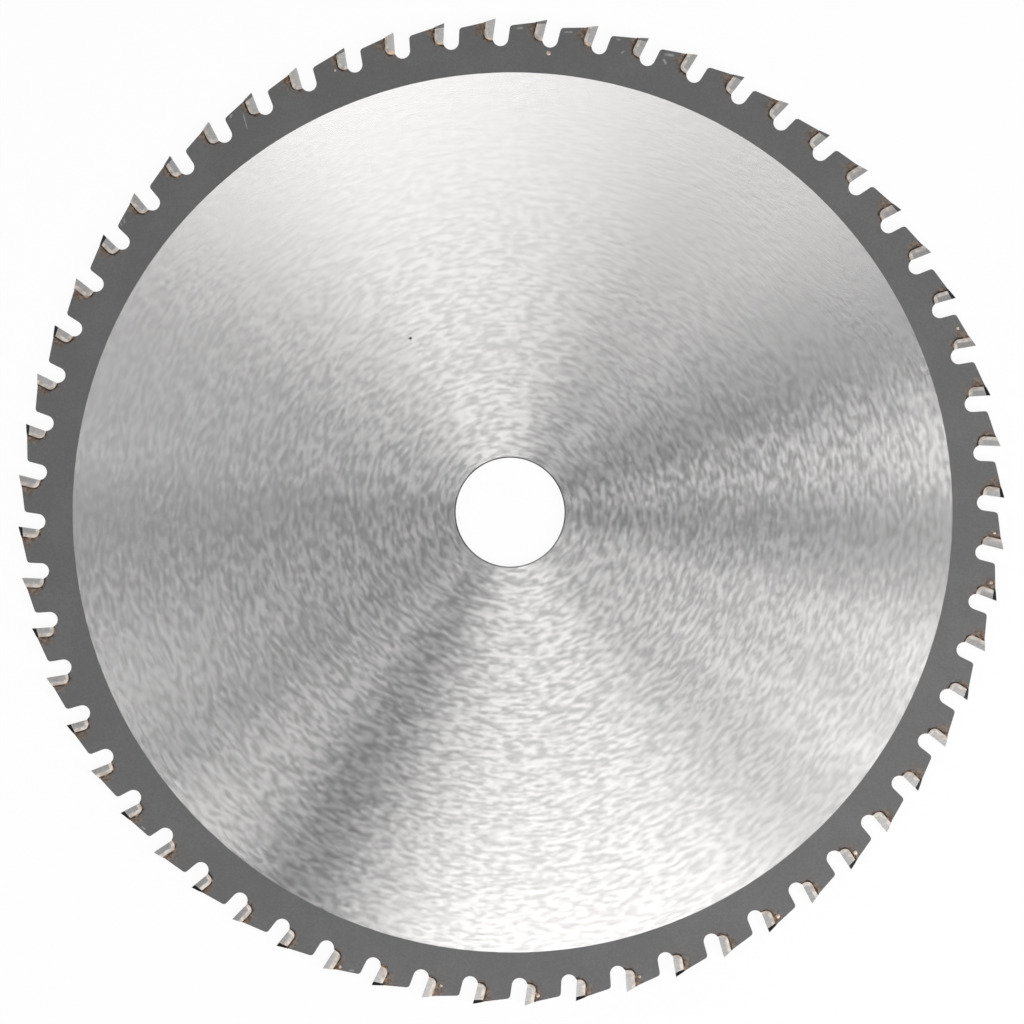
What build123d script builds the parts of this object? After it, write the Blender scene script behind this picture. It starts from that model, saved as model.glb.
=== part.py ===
from build123d import *
from math import cos, radians, sin, tan
import os

# Tipped circular saw blade for cutting metal. Sizes are in millimetres and angles in degrees.
# The blade lies flat: its axis is Z, and the origin is the middle of the bore, halfway through
# the plate. Seen from above it cuts clockwise, and the first tooth's cutting edge is on +X.

# Blade
blade_diameter = 230.0        # across the cutting edges
kerf = 2.2                    # width of the cut, across a tip's two front corners
tooth_count = 60

# Plate
plate_thickness = 1.8
bore_diameter = 25.4
bore_chamfer = 0.25
rim_width = 12.5              # from the cutting edges in to the ground middle of the plate
ground_relief = 0.02          # how much thinner the ground middle is, on each face

# Tooth form, in the plane of the blade
hook_angle = 10.0             # how far the face leans forward from the radius
top_clearance = 15.0          # how steeply a tip's top falls away behind its edge
back_clearance = 11.0         # the same for the steel back behind the tip
back_step = 0.15              # how far the steel back starts below the tip's rear corner
gullet_width = 3.6
gullet_depth = 6.2            # measured along the face
shoulder_radius = 0.8         # where a gullet runs out over the back of the tooth in front

# Carbide tip
tip_height = 5.1              # along the face
tip_thickness = 2.1           # from the face to the rear wall
tip_bevel = 0.65              # flat across the corner between the rear wall and the bottom
side_clearance = 1.5          # how a flank narrows from the face to the rear wall
root_clearance = 0.5          # how a flank narrows from the edge down to the bottom
corner_height = 1.05          # ground corner at the face: down the flank
corner_width = 0.75           # ground corner at the face: across the edge
corner_clearance = 6.0        # how the ground corner falls away behind the face

blade_radius = blade_diameter / 2
half_kerf = kerf / 2
half_plate = plate_thickness / 2
pitch = 360 / tooth_count
overshoot = 2.0               # how far a cutting shape runs past what it cuts

# Each tooth is drawn in its own frame: the origin is the cutting edge, x runs forward out of the
# face into the gullet, y runs outward along the face, and z is the blade's axis.
tooth_frame = Location((blade_radius, 0, 0), (0, 0, -90 - hook_angle))


def in_place(index):
    """Moves a shape from the tooth frame to the place of tooth number index."""
    return Rot(0, 0, index * pitch) * tooth_frame


def falling_back(clearance):
    """Direction in the tooth frame of a line that runs back and falls by clearance."""
    slope = radians(hook_angle + clearance)
    return Vector(-cos(slope), -sin(slope))


tip_rear = -tip_thickness
tip_bottom = -tip_height
tip_rear_top = tip_rear * tan(radians(hook_angle + top_clearance))
back_start = Vector(tip_rear, tip_rear_top - back_step)
back_direction = falling_back(back_clearance)
gullet_radius = gullet_width / 2
gullet_centre = Vector(gullet_radius, gullet_radius - gullet_depth)


def gullet_and_back():
    """Outline cut away ahead of a tooth: its gullet, and what lies over the back of the next."""
    to_next = tooth_frame.inverse() * Rot(0, 0, -pitch) * tooth_frame
    next_start = (to_next * Pos(back_start)).position
    next_behind = (to_next * Pos(back_start + back_direction)).position
    back_line = next_behind - next_start
    shoulder = next_start + back_line * ((gullet_width - next_start.X) / back_line.X)
    beyond = (to_next * Pos(back_start + Vector(0, tip_height))).position
    with BuildSketch() as outline:
        with BuildLine():
            face = Line((0, tip_height), (0, gullet_centre.Y))
            root = ThreePointArc(
                face @ 1,
                (gullet_centre.X, gullet_centre.Y - gullet_radius),
                (gullet_width, gullet_centre.Y),
            )
            Polyline(root @ 1, shoulder, next_start, beyond, face @ 0)
        make_face()
        corner = outline.vertices().sort_by_distance(shoulder)[0]
        fillet(corner, shoulder_radius)
    return outline.sketch


def tip_outline(front, rear_top, front_top):
    """Outline of a tip, or of its seat: square to the face, with its rear bottom corner off."""
    return make_face(
        Polyline(
            (front, tip_bottom),
            (tip_rear + tip_bevel, tip_bottom),
            (tip_rear, tip_bottom + tip_bevel),
            (tip_rear, rear_top),
            (front, front_top),
            close=True,
        )
    )


def corner_side(index):
    """Teeth have their ground corner on the upper and lower side in turn."""
    return 1 if index % 2 == 0 else -1


def corner_cutter(side):
    """Block whose inner face is the plane that grinds one corner of a tip, side being 1 or -1."""
    low_edge = Vector(0, -corner_height, side * half_kerf)
    high_edge = Vector(0, 0, side * (half_kerf - corner_width))
    along = falling_back(corner_clearance)
    outward = (high_edge - low_edge).cross(along) * side
    ahead = low_edge - along * gullet_radius
    block = Box(
        gullet_radius + blade_radius * radians(pitch / 2),
        2 * (corner_height + overshoot),
        overshoot,
        align=(Align.MIN, Align.CENTER, Align.MIN),
    )
    return Plane(origin=ahead, x_dir=along, z_dir=outward).location * block


def carbide_tip(side):
    """One tip in the tooth frame, with the corner on the given side ground off."""
    tip = extrude(tip_outline(0, tip_rear_top, 0), half_kerf, both=True)
    for flank in (1, -1):
        lean = Vector(-tan(radians(side_clearance)), -tan(radians(root_clearance)), flank)
        tip = split(tip, Plane(origin=(0, 0, flank * half_kerf), z_dir=lean), keep=Keep.BOTTOM)
    return tip - corner_cutter(side)


def saw_plate():
    """The steel disc, with its gullets, tip seats, ground middle and bore."""
    seat = tip_outline(gullet_radius, tip_height, tip_height)
    gap = gullet_and_back()
    outline = Circle(blade_radius) - Circle(bore_diameter / 2)
    outline -= [in_place(index) * gap for index in range(tooth_count)]
    outline -= [in_place(index) * seat for index in range(tooth_count)]
    plate = extrude(outline, half_plate, both=True)
    middle = Cylinder(blade_radius - rim_width, plate_thickness)
    middle_shift = plate_thickness - ground_relief
    plate -= [Pos(0, 0, middle_shift) * middle, Pos(0, 0, -middle_shift) * middle]
    plate -= [in_place(index) * corner_cutter(corner_side(index)) for index in range(tooth_count)]
    bore_edges = plate.edges().filter_by(GeomType.CIRCLE).filter_by(
        lambda edge: abs(edge.radius - bore_diameter / 2) < bore_chamfer
    )
    return chamfer(bore_edges, bore_chamfer)


os.makedirs("parts", exist_ok=True)

tips = [in_place(index) * carbide_tip(corner_side(index)) for index in range(tooth_count)]
for first in range(0, tooth_count, 2):
    export_step(Compound(tips[first : first + 2]), f"parts/tip_pair_{first // 2 + 1:02d}.step")

export_step(saw_plate(), "parts/saw_plate.step")
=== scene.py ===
from math import asin, atan2, cos, floor, hypot, pi, radians, sin, sqrt, tan

import bmesh
import bpy
from mathutils import Matrix, Vector, noise


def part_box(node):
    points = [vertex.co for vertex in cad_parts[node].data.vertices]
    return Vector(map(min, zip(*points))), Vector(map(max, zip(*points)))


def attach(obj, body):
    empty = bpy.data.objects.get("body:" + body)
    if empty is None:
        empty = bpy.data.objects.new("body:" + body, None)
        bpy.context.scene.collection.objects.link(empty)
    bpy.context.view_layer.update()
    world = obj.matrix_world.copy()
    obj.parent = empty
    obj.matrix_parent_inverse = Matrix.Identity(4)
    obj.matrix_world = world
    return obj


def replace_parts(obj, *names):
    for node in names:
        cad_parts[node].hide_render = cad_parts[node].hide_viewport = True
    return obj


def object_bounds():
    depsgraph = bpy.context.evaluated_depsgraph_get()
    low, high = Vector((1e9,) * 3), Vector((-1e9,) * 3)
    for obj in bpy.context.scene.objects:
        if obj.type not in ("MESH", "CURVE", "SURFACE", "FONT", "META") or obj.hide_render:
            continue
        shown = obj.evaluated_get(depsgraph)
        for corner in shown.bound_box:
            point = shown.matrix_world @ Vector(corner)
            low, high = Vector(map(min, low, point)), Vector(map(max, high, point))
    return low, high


# A tipped saw blade for cutting metal, lying flat on a pale floor and seen from straight above.
# Lengths are in millimetres until a piece is finished and scaled to metres. Every tooth is drawn
# in its own frame: the origin is its cutting edge, x runs forward out of the face, y outward
# along the face, and z is the blade's axis.

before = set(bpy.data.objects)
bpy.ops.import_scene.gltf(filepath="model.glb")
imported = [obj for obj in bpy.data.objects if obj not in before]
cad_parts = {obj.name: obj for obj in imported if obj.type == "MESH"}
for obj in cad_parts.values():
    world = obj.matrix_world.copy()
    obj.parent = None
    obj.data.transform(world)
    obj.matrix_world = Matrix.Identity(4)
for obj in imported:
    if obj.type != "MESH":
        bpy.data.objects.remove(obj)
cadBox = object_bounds()
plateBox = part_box("saw_plate")
scene = bpy.context.scene
zAxis = Vector((0, 0, 1))
metre = 1000
mergeReach = 0.002  # vertices closer than this become one
cutReach = 1e-5  # and this close to a plane, they lie on it

blade = {
    "radius": cadBox[1].x * metre,  # the first tooth's cutting edge is on +X
    "halfKerf": cadBox[1].z * metre,
    "halfPlate": plateBox[1].z * metre,
    "boreRadius": 12.7,
    "teeth": 60,
    "hook": radians(10),
}
halfKerf = blade["halfKerf"]
halfPlate = blade["halfPlate"]
pitch = 2 * pi / blade["teeth"]
faceTurn = -pi / 2 - blade["hook"]
toothFrame = Matrix.Translation((blade["radius"], 0, 0)) @ Matrix.Rotation(faceTurn, 4, "Z")
toBladeAxis = toothFrame.inverted().translation
aheadShare = 0.2  # of the pitch: how much of a tooth's own stretch lies ahead of its edge

tip = {
    "height": 5.1,
    "thickness": 2.1,
    "roundCorner": 1.35,  # between the rear wall and the bottom
    "roundSteps": 7,
    "topFall": radians(25),  # hook and top clearance together
    "sideClearance": radians(1.5),
    "rootClearance": radians(0.5),
    "cornerHeight": 1.05,  # the ground corner, down the flank
    "cornerWidth": 0.75,  # and across the edge
    "cornerFall": radians(16),
    "landWidth": 0.85,  # the land left by grinding, along the rear wall and the bottom
    "landDrop": 0.07,
}
tipRear = -tip["thickness"]
tipBottom = -tip["height"]
tipRearTop = tipRear * tan(tip["topFall"])


def toothPlace(index):
    return Matrix.Rotation(index * pitch, 4, "Z") @ toothFrame


def cornerSide(index):
    # teeth have their ground corner on the upper and the lower side in turn
    return 1 if index % 2 == 0 else -1


def fallingBack(angle):
    return Vector((-cos(angle), -sin(angle), 0))


def groundCorner(side):
    # point and outward normal of the plane that grinds one corner off
    lowEdge = Vector((0, -tip["cornerHeight"], side * halfKerf))
    highEdge = Vector((0, 0, side * (halfKerf - tip["cornerWidth"])))
    return lowEdge, (highEdge - lowEdge).cross(fallingBack(tip["cornerFall"])) * side


# short ways to add the nodes of a finish
def addNode(tree, kind, inputs=None, **settings):
    node = tree.nodes.new(kind)
    for name, value in settings.items():
        setattr(node, name, value)
    for name, value in (inputs or {}).items():
        if isinstance(value, bpy.types.NodeSocket):
            tree.links.new(value, node.inputs[name])
        else:
            node.inputs[name].default_value = value
    return node


def calc(tree, operation, *values):
    return addNode(tree, "ShaderNodeMath", dict(enumerate(values)), operation=operation).outputs[0]


def vectorCalc(tree, operation, *values):
    node = addNode(tree, "ShaderNodeVectorMath", dict(enumerate(values)), operation=operation)
    return node.outputs["Value" if operation in ("LENGTH", "DOT_PRODUCT") else "Vector"]


def scaled(tree, vector, factor):
    return addNode(
        tree, "ShaderNodeVectorMath", {0: vector, "Scale": factor}, operation="SCALE"
    ).outputs["Vector"]


def vectorFrom(tree, x=0.0, y=0.0, z=0.0):
    return addNode(tree, "ShaderNodeCombineXYZ", {0: x, 1: y, 2: z}).outputs[0]


def eased(tree, value, low, high, newLow=0.0, newHigh=1.0):
    inputs = {0: value, 1: low, 2: high, 3: newLow, 4: newHigh}
    return addNode(tree, "ShaderNodeMapRange", inputs, interpolation_type="SMOOTHSTEP").outputs[0]


def noiseOf(tree, vector, scale, detail=2.0):
    inputs = {"Vector": vector, "Scale": scale, "Detail": detail}
    return addNode(tree, "ShaderNodeTexNoise", inputs).outputs[0]


def mixed(tree, factor, first, second):
    inputs = {"Factor": factor, 6: first, 7: second}
    return addNode(tree, "ShaderNodeMix", inputs, data_type="RGBA").outputs[2]


def grey(level, warmth=0.0):
    return (level * (1 + warmth), level, level * (1 - warmth), 1)


def makeBladeCoordinates():
    # where a point lies on the blade, in millimetres: from its axis, and in its tooth's own frame
    tree = bpy.data.node_groups.new("bladeCoordinates", "ShaderNodeTree")
    point = scaled(tree, addNode(tree, "ShaderNodeTexCoord").outputs["Object"], metre)
    flat = vectorCalc(tree, "MULTIPLY", point, (1, 1, 0))
    radius = vectorCalc(tree, "LENGTH", flat)
    radial = vectorCalc(tree, "NORMALIZE", flat)
    sides = addNode(tree, "ShaderNodeSeparateXYZ", {0: point}).outputs
    angle = calc(tree, "ARCTAN2", sides[1], sides[0])
    ahead = calc(tree, "ADD", angle, aheadShare * pitch)
    index = calc(tree, "FLOOR", calc(tree, "DIVIDE", ahead, pitch))
    ownAngle = calc(tree, "SUBTRACT", angle, calc(tree, "MULTIPLY", index, pitch))
    aside = calc(tree, "MULTIPLY", radius, calc(tree, "SINE", ownAngle))
    out = calc(tree, "MULTIPLY", radius, calc(tree, "COSINE", ownAngle))
    out = calc(tree, "SUBTRACT", out, blade["radius"])
    # turned into the tooth's own directions
    forward = calc(tree, "MULTIPLY", aside, sin(faceTurn))
    forward = calc(tree, "MULTIPLY_ADD", out, cos(faceTurn), forward)
    outward = calc(tree, "MULTIPLY", aside, cos(faceTurn))
    outward = calc(tree, "MULTIPLY_ADD", out, -sin(faceTurn), outward)
    tooth = calc(tree, "FLOORED_MODULO", index, blade["teeth"])
    chance = addNode(tree, "ShaderNodeTexWhiteNoise", {"W": tooth}, noise_dimensions="1D")
    given = {
        "Point": point,
        "Radius": radius,
        "Radial": radial,
        "Ring": vectorCalc(tree, "CROSS_PRODUCT", (0, 0, 1), radial),
        "Forward": forward,
        "Outward": outward,
        "Chance": chance.outputs[0],
    }
    end = addNode(tree, "NodeGroupOutput")
    for name, value in given.items():
        kind = "NodeSocketVector" if value.type == "VECTOR" else "NodeSocketFloat"
        tree.interface.new_socket(name, in_out="OUTPUT", socket_type=kind)
        tree.links.new(value, end.inputs[name])
    return tree


bladeCoordinates = makeBladeCoordinates()


def newMaterial(name, metallic, roughness, anisotropy=0.0):
    material = bpy.data.materials.new(name)
    material.use_nodes = True
    tree = material.node_tree
    shader = tree.nodes["Principled BSDF"].inputs
    shader["Metallic"].default_value = metallic
    shader["Roughness"].default_value = roughness
    shader["Anisotropic"].default_value = anisotropy
    place = addNode(tree, "ShaderNodeGroup", node_tree=bladeCoordinates).outputs
    return material, tree, shader, place


def drawOutHighlights(tree, shader, direction):
    # spreads them along a direction on the object, which is the one across its scratches
    turned = addNode(
        tree, "ShaderNodeVectorTransform", {0: direction},
        vector_type="VECTOR", convert_from="OBJECT", convert_to="WORLD",
    )
    tree.links.new(turned.outputs[0], shader["Tangent"])


groundSteel = {
    "dark": grey(0.74, 0.02),
    "bright": grey(0.81, 0.02),
    "roughness": 0.23,
    "roughnessSpread": 0.028,
    "anisotropy": 0.95,
    "relief": 0.00002,  # metres, of the scratches
    "reliefShare": (0.5, 1.3),  # of it, from patch to patch
    "grainAlong": 0.4,  # per millimetre, along a ring
    "grainAcross": 0.95,
    "grainSpan": (0.3, 0.7),  # the noise from its darkest to its brightest
    "patches": 0.06,  # per millimetre
    "wander": 0.28,  # how far a scratch strays from its ring
    "drift": 0.06,  # and how far whole patches do
    "pit": Vector((-22.0, 41.2, halfPlate)),
    "pitSize": 0.45,
    "pitColour": grey(0.06),
}


def makeGroundSteel():
    # fine scratches run round the blade, so the lamps show as fans
    finish = groundSteel
    material, tree, shader, place = newMaterial(
        "groundSteel", 1, finish["roughness"], finish["anisotropy"]
    )
    along = (finish["grainAlong"], finish["grainAlong"], 0)
    across = vectorFrom(tree, z=calc(tree, "MULTIPLY", place["Radius"], finish["grainAcross"]))
    grainPlace = vectorCalc(tree, "MULTIPLY_ADD", place["Point"], along, across)
    grain = noiseOf(tree, grainPlace, 1, 1)
    elsewhere = vectorCalc(tree, "ADD", grainPlace, (40, 0, 0))
    strand = noiseOf(tree, elsewhere, 1, 1)
    cloud = noiseOf(tree, place["Point"], finish["patches"], 3)
    drift = calc(tree, "MULTIPLY", calc(tree, "SUBTRACT", cloud, 0.5), finish["drift"])
    stray = calc(tree, "MULTIPLY_ADD", calc(tree, "SUBTRACT", strand, 0.5), finish["wander"], drift)
    aside = scaled(tree, place["Ring"], stray)
    direction = vectorCalc(tree, "NORMALIZE", vectorCalc(tree, "ADD", place["Radial"], aside))
    drawOutHighlights(tree, shader, direction)
    low = finish["roughness"] - finish["roughnessSpread"]
    high = finish["roughness"] + finish["roughnessSpread"]
    tree.links.new(eased(tree, grain, *finish["grainSpan"], low, high), shader["Roughness"])
    share = eased(tree, cloud, 0.35, 0.65, *finish["reliefShare"])
    height = calc(tree, "MULTIPLY", grain, share)
    bump = addNode(tree, "ShaderNodeBump", {"Height": height, "Distance": finish["relief"]})
    tree.links.new(bump.outputs[0], shader["Normal"])
    tone = eased(tree, grain, *finish["grainSpan"])
    colour = mixed(tree, tone, finish["dark"], finish["bright"])
    fromPit = vectorCalc(tree, "SUBTRACT", place["Point"], finish["pit"])
    fromPit = vectorCalc(tree, "LENGTH", fromPit)
    inPit = eased(tree, fromPit, 0.4 * finish["pitSize"], finish["pitSize"], 1, 0)
    tree.links.new(mixed(tree, inPit, colour, finish["pitColour"]), shader["Base Color"])
    return material


# marks worn into the rim: tooth, then two points in its frame, and the width
wornMarks = [
    (11, (-6.3, -3.9), (-4.9, -3.2), 0.5),
    (11, (-6.0, -5.2), (-5.3, -5.6), 0.45),
    (12, (-6.5, -3.5), (-5.9, -3.4), 0.3),
    (12, (-4.1, -5.8), (-3.9, -5.5), 0.35),
    (13, (-6.8, -4.0), (-5.4, -3.5), 0.32),
    (14, (-6.2, -3.7), (-5.2, -3.3), 0.35),
    (20, (-3.55, -3.9), (-3.75, -5.6), 0.22),
    (20, (-3.75, -5.6), (-3.95, -7.5), 0.16),
    (20, (-6.6, -3.6), (-6.1, -3.1), 0.35),
    (23, (-6.1, -3.7), (-5.8, -3.3), 0.35),
    (23, (-7.1, -3.9), (-6.9, -3.4), 0.3),
    (36, (-6.0, -3.4), (-5.3, -3.0), 0.3),
    (41, (-6.3, -3.3), (-5.6, -3.0), 0.3),
]


def nearLine(tree, point, start, end, width):
    # 1 on the line between two points, and falling to 0 at width from it
    run = end - start
    fromStart = vectorCalc(tree, "SUBTRACT", point, start)
    along = vectorCalc(tree, "DOT_PRODUCT", fromStart, run / run.length_squared)
    along = calc(tree, "MINIMUM", calc(tree, "MAXIMUM", along, 0), 1)
    off = vectorCalc(tree, "SUBTRACT", fromStart, scaled(tree, tuple(run), along))
    return eased(tree, vectorCalc(tree, "LENGTH", off), 0.2 * width, width, 1, 0)


def pastTip(tree, place):
    # how far a point lies out from the walls of its tooth's tip
    corner = tip["roundCorner"]
    behind = calc(tree, "SUBTRACT", place["Forward"], tipRear + corner)
    under = calc(tree, "SUBTRACT", place["Outward"], tipBottom + corner)
    outside = vectorCalc(tree, "MINIMUM", vectorFrom(tree, behind, under), (0, 0, 0))
    return calc(tree, "SUBTRACT", vectorCalc(tree, "LENGTH", outside), corner)


blastedSteel = {
    "metallic": 0.7,
    "roughness": 0.62,
    "relief": 0.00002,  # metres
    "reliefStrength": 0.15,
    "dark": grey(0.141),
    "light": grey(0.163),
    "worn": grey(0.34),
    # how fine each noise is, per millimetre
    "grit": 2.8,
    "patches": 0.09,
    "blotches": 1.1,
    "speckles": 1.7,
    "burnt": (0.055, 0.036, 0.026, 1),
    "burntReach": 0.6,  # out from a tip's walls
    "burntUneven": 2.2,
    "bronze": ((0.12, 0.084, 0.062, 1), (0.27, 0.21, 0.165, 1)),
    "bronzeReach": 2.9,
    "bronzeUneven": 0.9,
    "bronzeBottom": (-5.2, -3.0),  # along the face, over which it fades towards the root
}


def makeBlastedSteel():
    finish = blastedSteel
    material, tree, shader, place = newMaterial(
        "blastedSteel", finish["metallic"], finish["roughness"]
    )
    grit = noiseOf(tree, place["Point"], finish["grit"])
    patch = noiseOf(tree, place["Point"], finish["patches"], 3)
    blotch = noiseOf(tree, place["Point"], finish["blotches"], 3)
    speckle = eased(tree, noiseOf(tree, place["Point"], finish["speckles"], 3), 0.38, 0.66)
    past = pastTip(tree, place)
    uneven = calc(tree, "SUBTRACT", blotch, 0.5)
    # the stain is larger on some teeth than on others
    reach = calc(tree, "MULTIPLY_ADD", place["Chance"], 0.6, 0.7)
    share = calc(tree, "DIVIDE", past, calc(tree, "MULTIPLY", reach, finish["bronzeReach"]))
    share = calc(tree, "MULTIPLY_ADD", uneven, finish["bronzeUneven"], share)
    fading = eased(tree, place["Outward"], *finish["bronzeBottom"], 0.15, 1)
    bronze = calc(tree, "MULTIPLY", eased(tree, share, 0.25, 0.9, 0.9, 0), fading)
    burnt = calc(tree, "MULTIPLY_ADD", uneven, finish["burntUneven"], past)
    burnt = eased(tree, burnt, 0, finish["burntReach"], 0.9, 0)
    tone = eased(tree, patch, 0.4, 0.7, -0.3, 0.3)
    tone = calc(tree, "ADD", eased(tree, grit, 0.35, 0.65), tone)
    colour = mixed(tree, tone, finish["dark"], finish["light"])
    colour = mixed(tree, bronze, colour, mixed(tree, speckle, *finish["bronze"]))
    colour = mixed(tree, burnt, colour, finish["burnt"])
    worn = 0
    for index, start, end, width in wornMarks:
        start, end = (toothPlace(index) @ Vector((*at, halfPlate)) for at in (start, end))
        worn = calc(tree, "MAXIMUM", worn, nearLine(tree, place["Point"], start, end, width))
    worn = calc(tree, "MULTIPLY", worn, eased(tree, blotch, 0.3, 0.6, 0.35, 1))
    colour = mixed(tree, worn, colour, finish["worn"])
    tree.links.new(colour, shader["Base Color"])
    relief = {"Height": grit, "Strength": finish["reliefStrength"], "Distance": finish["relief"]}
    bump = addNode(tree, "ShaderNodeBump", relief)
    tree.links.new(bump.outputs[0], shader["Normal"])
    return material


carbide = {
    "ground": (grey(0.38, 0.025), grey(0.46, 0.025)),
    "groundRoughness": 0.38,
    "groundAnisotropy": 0.9,
    "lines": 5,  # per millimetre
    "lineStretch": 0.15,
    "land": ((0.4, 0.36, 0.325, 1), (0.66, 0.61, 0.565, 1)),
    "landMetallic": 0.8,
    "landRoughness": 0.5,
    "landBlotches": 0.8,  # per millimetre
    "golden": (0.78, 0.56, 0.38, 1),
    # where braze has run over a tip's bottom: tooth, point in its frame, and reach
    "runs": [
        (13, (-1.2, -4.9), 0.4),
        (15, (-1.1, -4.9), 0.5),
        (16, (-1.1, -4.9), 0.6),
        (17, (-1.0, -4.8), 0.8),
    ],
    "runLength": 0.3,
}


def goldenShare(tree, place):
    share = 0
    for index, at, reach in carbide["runs"]:
        start = toothPlace(index) @ Vector((*at, halfKerf))
        end = start + toothPlace(index).to_3x3() @ Vector((carbide["runLength"], 0, 0))
        share = calc(tree, "MAXIMUM", share, nearLine(tree, place["Point"], start, end, reach))
    return share


def makeGroundCarbide():
    # ground across, from the face back, so it shows fans as the middle of the blade does
    material, tree, shader, place = newMaterial(
        "groundCarbide", 1, carbide["groundRoughness"], carbide["groundAnisotropy"]
    )
    drawOutHighlights(tree, shader, place["Radial"])
    along = calc(tree, "MULTIPLY", place["Forward"], carbide["lineStretch"])
    lines = vectorFrom(tree, along, place["Outward"], place["Chance"])
    tone = eased(tree, noiseOf(tree, lines, carbide["lines"]), 0.3, 0.7)
    colour = mixed(tree, tone, *carbide["ground"])
    colour = mixed(tree, goldenShare(tree, place), colour, carbide["golden"])
    tree.links.new(colour, shader["Base Color"])
    return material


def makeCarbideLand():
    material, tree, shader, place = newMaterial(
        "carbideLand", carbide["landMetallic"], carbide["landRoughness"]
    )
    tone = eased(tree, noiseOf(tree, place["Point"], carbide["landBlotches"], 3), 0.3, 0.7)
    colour = mixed(tree, tone, *carbide["land"])
    colour = mixed(tree, goldenShare(tree, place), colour, carbide["golden"])
    tree.links.new(colour, shader["Base Color"])
    return material


braze = {
    "metallic": 0.8,
    "roughness": 0.5,
    "mottle": 0.9,  # per millimetre
    "burnt": (0.05, 0.032, 0.022, 1),
    "bronze": (0.28, 0.19, 0.13, 1),
    "bright": (0.75, 0.66, 0.55, 1),
}


def makeBraze():
    material, tree, shader, place = newMaterial("brazeMetal", braze["metallic"], braze["roughness"])
    tone = noiseOf(tree, place["Point"], braze["mottle"])
    tone = calc(tree, "MULTIPLY_ADD", place["Chance"], 0.16, tone)  # brighter on some teeth
    tone = eased(tree, tone, 0.52, 0.8)
    tree.links.new(mixed(tree, tone, braze["burnt"], braze["bronze"]), shader["Base Color"])
    return material


# plainer finishes: metallic, roughness, noise per millimetre, and the two colours that it mixes
mottled = {
    # painted reflection: the ground corners of the tips and the plate are coloured near black,
    # standing in for the dark surroundings they reflect
    "facetPaintedReflection": (1, 0.3, 4, grey(0.06), grey(0.1)),
    "brazeDrop": (0.9, 0.4, 1.6, braze["bronze"], braze["bright"]),
    # painted shade: the bore's chamfer and wall are coloured near black, standing in for the dark
    # line round the bore
    "boreSteelPaintedShade": (1, 0.35, 1.5, grey(0.06), grey(0.12)),
}


def makeMottled(name):
    metallic, roughness, mottle, first, second = mottled[name]
    material, tree, shader, place = newMaterial(name, metallic, roughness)
    tone = noiseOf(tree, place["Point"], mottle)
    tree.links.new(mixed(tree, tone, first, second), shader["Base Color"])
    return material


finishes = {
    "groundSteel": makeGroundSteel(),
    "blastedSteel": makeBlastedSteel(),
    "groundCarbide": makeGroundCarbide(),
    "carbideLand": makeCarbideLand(),
    "facetPaintedReflection": makeMottled("facetPaintedReflection"),
    "brazeMetal": makeBraze(),
    "brazeDrop": makeMottled("brazeDrop"),
    "boreSteelPaintedShade": makeMottled("boreSteelPaintedShade"),
}
print("finishes made:", len(finishes))


smoothLimit = radians(20)  # edges with a larger angle between their faces stay sharp


# short ways to work on a mesh
def vertsOf(items):
    return [item for item in items if isinstance(item, bmesh.types.BMVert)]


def edgesOf(items):
    return [item for item in items if isinstance(item, bmesh.types.BMEdge)]


def everything(bm):
    return bm.verts[:] + bm.edges[:] + bm.faces[:]


def ringRadius(vert):
    return hypot(vert.co.x, vert.co.y)


def joined(bm, verts):
    # a chain of edges through these vertices
    return [bm.edges.new(ends) for ends in zip(verts, verts[1:])]


def arcFrom(bm, vert, centre, angle, steps):
    # draws a vertex round a centre, and returns the vertex at the arc's end
    arc = bmesh.ops.spin(bm, geom=[vert], cent=centre, axis=zAxis, angle=angle, steps=steps)
    return vertsOf(arc["geom_last"])[0]


def roundOff(bm, vert, radius, steps):
    # rounds a corner of a flat outline
    arms = [edge.other_vert(vert).co - vert.co for edge in vert.link_edges]
    offset = radius / tan(arms[0].angle(arms[1]) / 2)
    bmesh.ops.bevel(
        bm, geom=[vert], offset=offset, offset_type="OFFSET", segments=steps, profile=0.5,
        affect="VERTICES", clamp_overlap=True, material=-1,
    )


def cutAway(bm, point, normal, finish=0):
    # takes off what lies beyond a plane, and closes the cut
    cut = bmesh.ops.bisect_plane(
        bm, geom=everything(bm), dist=cutReach, plane_co=point, plane_no=normal, clear_outer=True
    )
    for face in bmesh.ops.contextual_create(bm, geom=edgesOf(cut["geom_cut"]))["faces"]:
        face.material_index = finish


def drawnOut(bm, edges, shift=(0, 0, 0), factor=1.0, finish=0):
    # extrudes a loop of edges, moves and scales the new one, and returns its edges
    made = bmesh.ops.extrude_edge_only(bm, edges=edges)["geom"]
    verts = vertsOf(made)
    bmesh.ops.translate(bm, verts=verts, vec=shift)
    bmesh.ops.scale(bm, verts=verts, vec=(factor, factor, 1))
    for face in made:
        if isinstance(face, bmesh.types.BMFace):
            face.material_index = finish
    new = set(verts)
    return [edge for edge in edgesOf(made) if new.issuperset(edge.verts)]


def pourInto(target, bm):
    # adds a finished part to a larger mesh
    mesh = bpy.data.meshes.new("part")
    bm.to_mesh(mesh)
    bm.free()
    target.from_mesh(mesh)
    bpy.data.meshes.remove(mesh)


def repeatRound(bm, count):
    angle = 2 * pi * (count - 1) / count
    bmesh.ops.spin(
        bm, geom=everything(bm), cent=(0, 0, 0), axis=zAxis, angle=angle, steps=count - 1,
        use_duplicate=True,
    )


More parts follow.
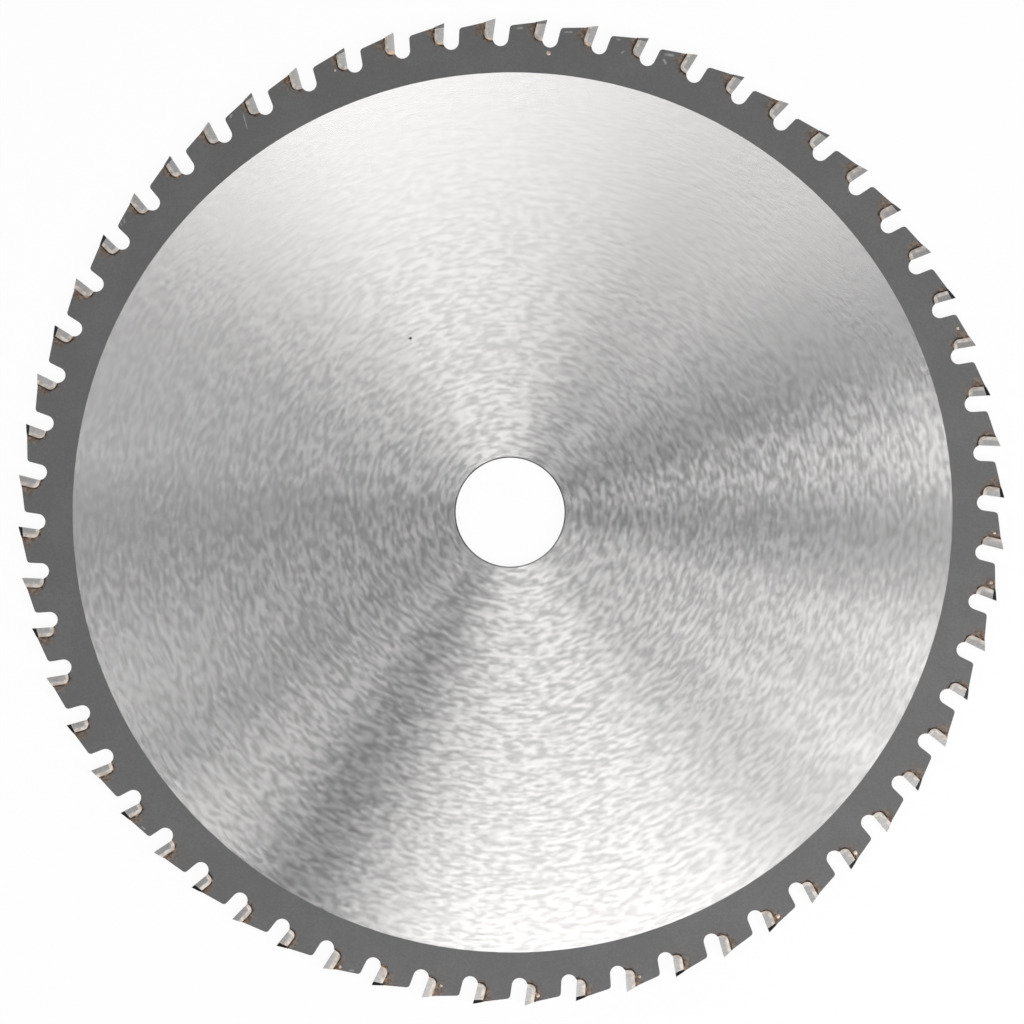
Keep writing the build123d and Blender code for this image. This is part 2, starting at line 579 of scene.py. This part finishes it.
def newPiece(name, bm, finishNames):
    bmesh.ops.recalc_face_normals(bm, faces=bm.faces[:])
    bmesh.ops.scale(bm, verts=bm.verts[:], vec=(1 / metre,) * 3)
    for face in bm.faces:
        face.smooth = True
    for edge in bm.edges:
        edge.smooth = edge.calc_face_angle(pi) < smoothLimit
    openEdges = sum(not edge.is_manifold for edge in bm.edges)
    if openEdges:
        print(name, "has open edges:", openEdges)
    mesh = bpy.data.meshes.new(name)
    bm.to_mesh(mesh)
    bm.free()
    for finishName in finishNames:
        mesh.materials.append(finishes[finishName])
    piece = bpy.data.objects.new(name, mesh)
    scene.collection.objects.link(piece)
    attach(piece, "root")
    return piece


plate = {
    "gulletRadius": 1.8,
    "gulletDepth": 6.2,
    "gulletSteps": 14,
    "shoulderRadius": 0.8,
    "shoulderSteps": 6,
    "backFall": radians(21),  # hook and back clearance together
    "backStep": 0.15,
    "seamBehind": 2.9,  # from the seat back to where one tooth's stretch meets the next
    "middleRadius": 102.5,
    "middleShift": Vector((0.355, -0.11, 0)),  # the middle was ground a little off centre
    "middleDrop": 0.02,
    "middleRings": 5,
    "ringSteps": 6,  # to a tooth
    "ringReach": 0.01,  # what still counts as lying on the middle's edge
    "boreChamfer": 0.25,
    "brokenEdge": 0.05,
    "brokenFrom": 1,  # out from the middle's edge
    "brokenAngle": radians(60),  # sharper edges are broken
}
plateFinishes = ["blastedSteel", "groundSteel", "facetPaintedReflection", "boreSteelPaintedShade"]


def makeStretch(cornerGround):
    # upper half of the rim from one tooth's back, past its seat and gullet, to the back ahead
    bm = bmesh.new()
    backStart = Vector((tipRear, tipRearTop - plate["backStep"], halfPlate))
    backEnd = backStart + fallingBack(plate["backFall"]) * plate["seamBehind"]
    toAhead = toothFrame.inverted() @ Matrix.Rotation(-pitch, 4, "Z") @ toothFrame
    aheadStart = toAhead @ backStart
    aheadEnd = toAhead @ backEnd
    radius = plate["gulletRadius"]
    rootCentre = Vector((radius, radius - plate["gulletDepth"], halfPlate))
    seatDrop = rootCentre.y - tipBottom
    seatFront = radius - sqrt(radius**2 - seatDrop**2)
    slope = aheadEnd - aheadStart
    shoulderPoint = aheadStart + slope * ((2 * radius - aheadStart.x) / slope.x)
    fromAxis = aheadEnd - toBladeAxis
    fromAxis.z = 0

    back = bm.verts.new(backEnd)
    seatTop = bm.verts.new(backStart)
    seatCorner = bm.verts.new((tipRear, tipBottom, halfPlate))
    seatEdge = bm.verts.new((seatFront, tipBottom, halfPlate))
    rootEnd = arcFrom(bm, seatEdge, rootCentre, pi - asin(seatDrop / radius), plate["gulletSteps"])
    shoulder = bm.verts.new(shoulderPoint)
    seam = bm.verts.new(aheadEnd)
    toInner = fromAxis.normalized() * plate["middleRadius"]
    inner = bm.verts.new(toBladeAxis + toInner + zAxis * halfPlate)
    innerEnd = arcFrom(bm, inner, toBladeAxis, pitch, plate["ringSteps"])
    joined(bm, [innerEnd, back, seatTop, seatCorner, seatEdge])
    joined(bm, [rootEnd, shoulder, seam, inner])
    bmesh.ops.contextual_create(bm, geom=bm.edges[:])
    roundOff(bm, seatCorner, tip["roundCorner"], tip["roundSteps"])
    roundOff(bm, shoulder, plate["shoulderRadius"], plate["shoulderSteps"])

    def fromRing(vert):
        return (vert.co - toBladeAxis).xy.length - plate["middleRadius"]

    outline = [edge for edge in bm.edges if min(map(fromRing, edge.verts)) > radius]
    drawnOut(bm, outline, (0, 0, -halfPlate))
    if cornerGround:
        # the cut face takes the near-black colour of painted reflection
        cutAway(bm, *groundCorner(1), finish=plateFinishes.index("facetPaintedReflection"))
    return bm


def makeSawPlate():
    bm = bmesh.new()
    for index, cornerGround in enumerate((True, False)):
        stretch = makeStretch(cornerGround)
        bmesh.ops.transform(stretch, matrix=toothPlace(index), verts=stretch.verts[:])
        pourInto(bm, stretch)
    repeatRound(bm, blade["teeth"] // 2)
    bmesh.ops.remove_doubles(bm, verts=bm.verts[:], dist=mergeReach)
    near = plate["middleRadius"] + plate["ringReach"]
    loop = [edge for edge in bm.edges if max(map(ringRadius, edge.verts)) < near]
    ringVerts = [vert for vert in bm.verts if ringRadius(vert) < near]
    bmesh.ops.translate(bm, verts=ringVerts, vec=plate["middleShift"])
    ground = plateFinishes.index("groundSteel")
    loop = drawnOut(bm, loop, (0, 0, -plate["middleDrop"]), finish=ground)
    boreEdge = blade["boreRadius"] + plate["boreChamfer"]
    rings = plate["middleRings"]
    for ring in range(rings):
        shift = (0, 0, 0) if ring else -plate["middleShift"]
        factor = (boreEdge / plate["middleRadius"]) ** (1 / rings)
        loop = drawnOut(bm, loop, shift, factor, finish=ground)
    # the chamfer and the bore's wall take the near-black colour of painted shade
    bore = plateFinishes.index("boreSteelPaintedShade")
    narrower = blade["boreRadius"] / boreEdge
    loop = drawnOut(bm, loop, (0, 0, -plate["boreChamfer"]), narrower, finish=bore)
    toMiddle = plate["middleDrop"] + plate["boreChamfer"] - halfPlate
    drawnOut(bm, loop, (0, 0, toMiddle), finish=bore)
    # on the lower half, the teeth between have the ground corner
    lower = bmesh.ops.duplicate(bm, geom=everything(bm))["geom"]
    bmesh.ops.scale(bm, verts=vertsOf(lower), vec=(1, 1, -1))
    oneOn = Matrix.Rotation(pitch, 3, "Z")
    bmesh.ops.rotate(bm, verts=vertsOf(lower), cent=(0, 0, 0), matrix=oneOn)
    bmesh.ops.remove_doubles(bm, verts=bm.verts[:], dist=mergeReach)
    bmesh.ops.recalc_face_normals(bm, faces=bm.faces[:])
    facet = plateFinishes.index("facetPaintedReflection")
    onOneFace = 1.9 * halfPlate  # the heights of two vertices on one face add up to more
    crisp = [
        edge for edge in bm.edges
        if min(map(ringRadius, edge.verts)) > near + plate["brokenFrom"]
        and abs(sum(vert.co.z for vert in edge.verts)) > onOneFace
        and edge.calc_face_angle(0) > plate["brokenAngle"]
        and all(face.material_index != facet for face in edge.link_faces)
    ]
    bmesh.ops.bevel(
        bm, geom=crisp, offset=plate["brokenEdge"], offset_type="OFFSET", segments=2, profile=0.5,
        affect="EDGES", clamp_overlap=True, material=-1,
    )
    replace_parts(newPiece("saw_plate_ground", bm, plateFinishes), "saw_plate")


makeSawPlate()
print("saw plate made")


tipFinishes = ["groundCarbide", "carbideLand", "facetPaintedReflection"]


def flankFaces(bm, flank):
    facet = tipFinishes.index("facetPaintedReflection")
    return [
        face for face in bm.faces
        if face.normal.z * flank > 0.99 and face.material_index != facet
    ]


def makeTip(side):
    bm = bmesh.new()
    over = 1.2 * halfKerf  # drawn thicker, and then cut down to its flanks
    outline = [(0, tipBottom), (0, 0), (tipRear, tipRearTop), (tipRear, tipBottom)]
    verts = [bm.verts.new((x, y, -over)) for x, y in outline]
    bm.faces.new(verts)
    roundOff(bm, verts[-1], tip["roundCorner"], tip["roundSteps"])
    made = bmesh.ops.extrude_face_region(bm, geom=bm.faces[:])["geom"]
    bmesh.ops.translate(bm, verts=vertsOf(made), vec=(0, 0, 2 * over))
    for flank in (1, -1):
        lean = Vector((-tan(tip["sideClearance"]), -tan(tip["rootClearance"]), flank))
        cutAway(bm, (0, 0, flank * halfKerf), lean)
    # the ground corner takes the near-black colour of painted reflection
    cutAway(bm, *groundCorner(side), finish=tipFinishes.index("facetPaintedReflection"))
    bmesh.ops.recalc_face_normals(bm, faces=bm.faces[:])
    # the flanks are ground short of the rear wall and the bottom, where a low land stays
    landFront = tipRear + tip["landWidth"]
    landTop = tipBottom + tip["landWidth"]
    slack = 0.01  # so that the vertices on the cuts themselves stay up
    for flank in (1, -1):
        for point, across in (((landFront, 0, 0), (1, 0, 0)), ((0, landTop, 0), (0, 1, 0))):
            flat = flankFaces(bm, flank)
            edges = [edge for edge in bm.edges if any(face in flat for face in edge.link_faces)]
            bmesh.ops.bisect_plane(
                bm, geom=flat + edges, dist=cutReach, plane_co=point, plane_no=across
            )
        flat = flankFaces(bm, flank)
        for face in flat:
            middle = face.calc_center_median()
            if middle.x < landFront or middle.y < landTop:
                face.material_index = tipFinishes.index("carbideLand")
        low = [
            vert for vert in bm.verts
            if any(face in flat for face in vert.link_faces)
            and (vert.co.x < landFront - slack or vert.co.y < landTop - slack)
        ]
        manySided = [face for face in flat if len(face.verts) > 4]
        bmesh.ops.triangulate(bm, faces=manySided, ngon_method="BEAUTY")
        bmesh.ops.translate(bm, verts=low, vec=(0, 0, -flank * tip["landDrop"]))
    return bm


def makeTips():
    for pair in range(blade["teeth"] // 2):
        bm = bmesh.new()
        for index in (2 * pair, 2 * pair + 1):
            one = makeTip(cornerSide(index))
            bmesh.ops.transform(one, matrix=toothPlace(index), verts=one.verts[:])
            pourInto(bm, one)
        number = f"{pair + 1:02d}"
        piece = newPiece(f"carbide_tips_{number}", bm, tipFinishes)
        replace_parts(piece, f"tip_pair_{number}")


makeTips()
print("tips made")


bead = {
    "width": 0.34,
    "height": 0.09,
    "outline": [(0, 0), (0, 1), (0.3, 0.8), (0.7, 0.35), (1, 0)],  # out from the tip, and up
    "unevenness": 0.5,  # of its width
    "waves": 1.3,  # per millimetre
    "front": -0.1,  # it starts just behind the tip's face
    "bottomSteps": 4,
    "cornerSteps": 6,
    "rearSteps": 10,
}


def makeBead():
    # a small fillet of braze under a tip and up its rear wall, on the plate's upper face
    bm = bmesh.new()
    start = [
        bm.verts.new(
            (bead["front"], tipBottom - out * bead["width"], halfPlate + up * bead["height"])
        )
        for out, up in bead["outline"]
    ]
    loop = joined(bm, start + start[:1])
    bmesh.ops.contextual_create(bm, geom=loop)
    corner = tip["roundCorner"]
    bottomRun = Vector((tipRear + corner - bead["front"], 0, 0))
    rearRun = Vector((0, tipRearTop - plate["backStep"] - tipBottom - corner, 0))
    for _ in range(bead["bottomSteps"]):
        loop = drawnOut(bm, loop, bottomRun / bead["bottomSteps"])
    turned = bmesh.ops.spin(
        bm, geom=loop, cent=(tipRear + corner, tipBottom + corner, 0), axis=zAxis,
        angle=-pi / 2, steps=bead["cornerSteps"],
    )
    loop = edgesOf(turned["geom_last"])
    for _ in range(bead["rearSteps"]):
        loop = drawnOut(bm, loop, rearRun / bead["rearSteps"])
    bmesh.ops.contextual_create(bm, geom=loop)
    return bm


def makeBeads():
    bm = bmesh.new()
    for side in (1, -1):
        one = makeBead()
        bmesh.ops.scale(one, verts=one.verts[:], vec=(1, 1, side))
        bmesh.ops.transform(one, matrix=toothFrame, verts=one.verts[:])
        pourInto(bm, one)
    repeatRound(bm, blade["teeth"])
    corner = tip["roundCorner"]
    for vert in bm.verts:
        index = floor(atan2(vert.co.y, vert.co.x) / pitch + aheadShare)
        place = toothPlace(index)
        away = place.inverted() @ vert.co - Vector((tipRear + corner, tipBottom + corner, 0))
        away = Vector((min(away.x, 0), min(away.y, 0), 0))
        past = away.length - corner  # how far the vertex lies out from the tip's wall
        drift = noise.noise(vert.co * bead["waves"]) * bead["unevenness"] * past
        vert.co += place.to_3x3() @ away.normalized() * drift
    newPiece("braze_beads", bm, ["brazeMetal"])


makeBeads()
print("braze beads made")

# droplets of braze: tooth, place in its frame, and radius
droplets = [
    (3, (-4.7, -3.5), 0.38),
    (14, (2.2, -7.5), 0.55),
    (18, (-2.95, -4.9), 0.3),
    (41, (-3.2, -2.4), 0.4),
    (43, (-3.3, -4.1), 0.35),
    (45, (-2.75, -2.7), 0.5),
    (47, (-3.2, -3.3), 0.36),
    (50, (-3.2, -2.8), 0.55),
    (52, (-3.0, -2.8), 0.55),
    (58, (-3.5, -2.7), 0.42),
    (59, (-3.2, -3.0), 0.36),
]
dropletShape = {"height": 0.4, "unevenness": 0.25, "waves": 4}  # for a radius of 1


def makeDroplets():
    bm = bmesh.new()
    for index, at, radius in droplets:
        made = bmesh.ops.create_icosphere(bm, subdivisions=3, radius=radius)["verts"]
        bmesh.ops.scale(bm, verts=made, vec=(1, 1, dropletShape["height"]))
        for vert in made:
            bulge = noise.noise(vert.co * dropletShape["waves"] + Vector((index, 0, 0)))
            vert.co += vert.co * dropletShape["unevenness"] * bulge
        place = toothPlace(index) @ Matrix.Translation((*at, halfPlate))
        bmesh.ops.transform(bm, matrix=place, verts=made)
    newPiece("braze_droplets", bm, ["brazeDrop"])


makeDroplets()
print("droplets made")


# the floor and the lamps are sized and placed in metres
floorSizes = {
    "width": 24,
    "gap": 0.00001,
    "colour": grey(0.9),
    "shown": 0.93,  # how much of plain white the camera sees in it
}


def makeFloor():
    bm = bmesh.new()
    bmesh.ops.create_grid(bm, x_segments=1, y_segments=1, size=floorSizes["width"] / 2)
    bmesh.ops.translate(bm, verts=bm.verts[:], vec=(0, 0, cadBox[0].z - floorSizes["gap"]))
    mesh = bpy.data.meshes.new("floor")
    bm.to_mesh(mesh)
    bm.free()
    material = bpy.data.materials.new("paleFloor")
    material.use_nodes = True
    tree = material.node_tree
    tree.nodes.clear()
    rays = addNode(tree, "ShaderNodeLightPath").outputs
    seen = calc(tree, "MAXIMUM", rays["Is Camera Ray"], rays["Is Glossy Ray"])
    seen = calc(tree, "MAXIMUM", seen, rays["Is Transmission Ray"])
    lit = addNode(tree, "ShaderNodeBsdfDiffuse", {"Color": floorSizes["colour"]}).outputs[0]
    white = addNode(tree, "ShaderNodeEmission").outputs[0]
    share = calc(tree, "MULTIPLY", seen, floorSizes["shown"])
    shade = addNode(tree, "ShaderNodeMixShader", {0: share, 1: lit, 2: white}).outputs[0]
    addNode(tree, "ShaderNodeOutputMaterial", {"Surface": shade})
    mesh.materials.append(material)
    floorPiece = bpy.data.objects.new("floor", mesh)
    scene.collection.objects.link(floorPiece)


makeFloor()

camera = {
    "distance": 1000,  # millimetres
    "perPixel": 0.233145,  # millimetres, at the middle of the blade
    "imageSize": 1024,
    "turn": radians(1.674),  # the first tooth stands this far above the picture's right
    "lean": Vector((0.022485, 0.00483)),  # how far it stands to the right and up, for its distance
    "aim": Vector((0.441, 0.044)),  # what lies at the picture's centre, from the blade's axis
}


def fromPicture(right, up, out=0.0):
    return Matrix.Rotation(-camera["turn"], 3, "Z") @ Vector((right, up, out))


def makeCamera():
    data = bpy.data.cameras.new("camera")
    data.lens = data.sensor_width * camera["distance"] / (camera["perPixel"] * camera["imageSize"])
    data.clip_start = 0.01
    data.clip_end = 100
    back = fromPicture(*camera["lean"], sqrt(1 - camera["lean"].length_squared))
    right = fromPicture(0, 1).cross(back).normalized()
    place = Matrix((right, back.cross(right), back)).transposed().to_4x4()
    place.translation = (fromPicture(*camera["aim"]) + back * camera["distance"]) / metre
    holder = bpy.data.objects.new("camera", data)
    holder.matrix_world = place
    scene.collection.objects.link(holder)
    scene.camera = holder


makeCamera()

lampRings = {
    # large panels above the blade, with their azimuths in the picture and brightnesses
    "over": {
        "lean": radians(20),  # from overhead
        "distance": 0.7,
        "width": 0.5,
        "height": 0.3,
        "brightness": {82.5: 1.17, 125: 0.36, 157.5: 0.22, 305: 0.7},
    },
    "wide": {
        "lean": radians(34),
        "distance": 0.9,
        "width": 0.45,
        "height": 0.4,
        "brightness": {275: 3.7, 325: 1.5},
    },
    # narrow ones, each of which shows as a fan of its own
    "narrow": {
        "lean": radians(34),
        "distance": 0.9,
        "width": 0.12,
        "height": 0.4,
        "brightness": {10: 2.98, 205: 1.81, 225: 2.58},
    },
    "middle": {
        "lean": radians(48),
        "distance": 0.7,
        "width": 0.08,
        "height": 0.3,
        "brightness": {7.5: 2.82, 192.5: 1.82},
    },
    "low": {
        "lean": radians(60),
        "distance": 0.6,
        "width": 0.07,
        "height": 0.25,
        "brightness": {172.5: 5.24, 325: 11.1, 340: 12.1},
    },
    # a long one by the floor, which the ground corners at the top of the picture reflect
    "horizon": {
        "lean": radians(82),
        "distance": 1.1,
        "width": 3.2,
        "height": 0.2,
        "brightness": {92: 4.5},
    },
}


def makeLamp(name, ring, azimuth, brightness):
    data = bpy.data.lights.new(name, "AREA")
    data.shape = "RECTANGLE"
    data.size = ring["width"]
    data.size_y = ring["height"]
    data.energy = brightness * pi * ring["width"] * ring["height"]
    holder = bpy.data.objects.new(name, data)
    holder.matrix_world = (
        Matrix.Rotation(radians(azimuth) - camera["turn"], 4, "Z")
        @ Matrix.Rotation(ring["lean"], 4, "Y")
        @ Matrix.Translation((0, 0, ring["distance"]))
        @ Matrix.Rotation(pi / 2, 4, "Z")
    )
    holder.visible_camera = False
    scene.collection.objects.link(holder)


for ringName, lampRing in lampRings.items():
    for lampAzimuth, lampBrightness in lampRing["brightness"].items():
        makeLamp(f"{ringName}{lampAzimuth:g}", lampRing, lampAzimuth, lampBrightness)

studio = {"colour": (0.93, 0.98, 1.09, 1), "strength": 0.08}

world = bpy.data.worlds.new("studio")
world.use_nodes = True
surroundings = world.node_tree.nodes["Background"].inputs
surroundings["Color"].default_value = studio["colour"]
surroundings["Strength"].default_value = studio["strength"]
scene.world = world
scene.view_settings.view_transform = "Standard"
print("floor, camera and lamps made")
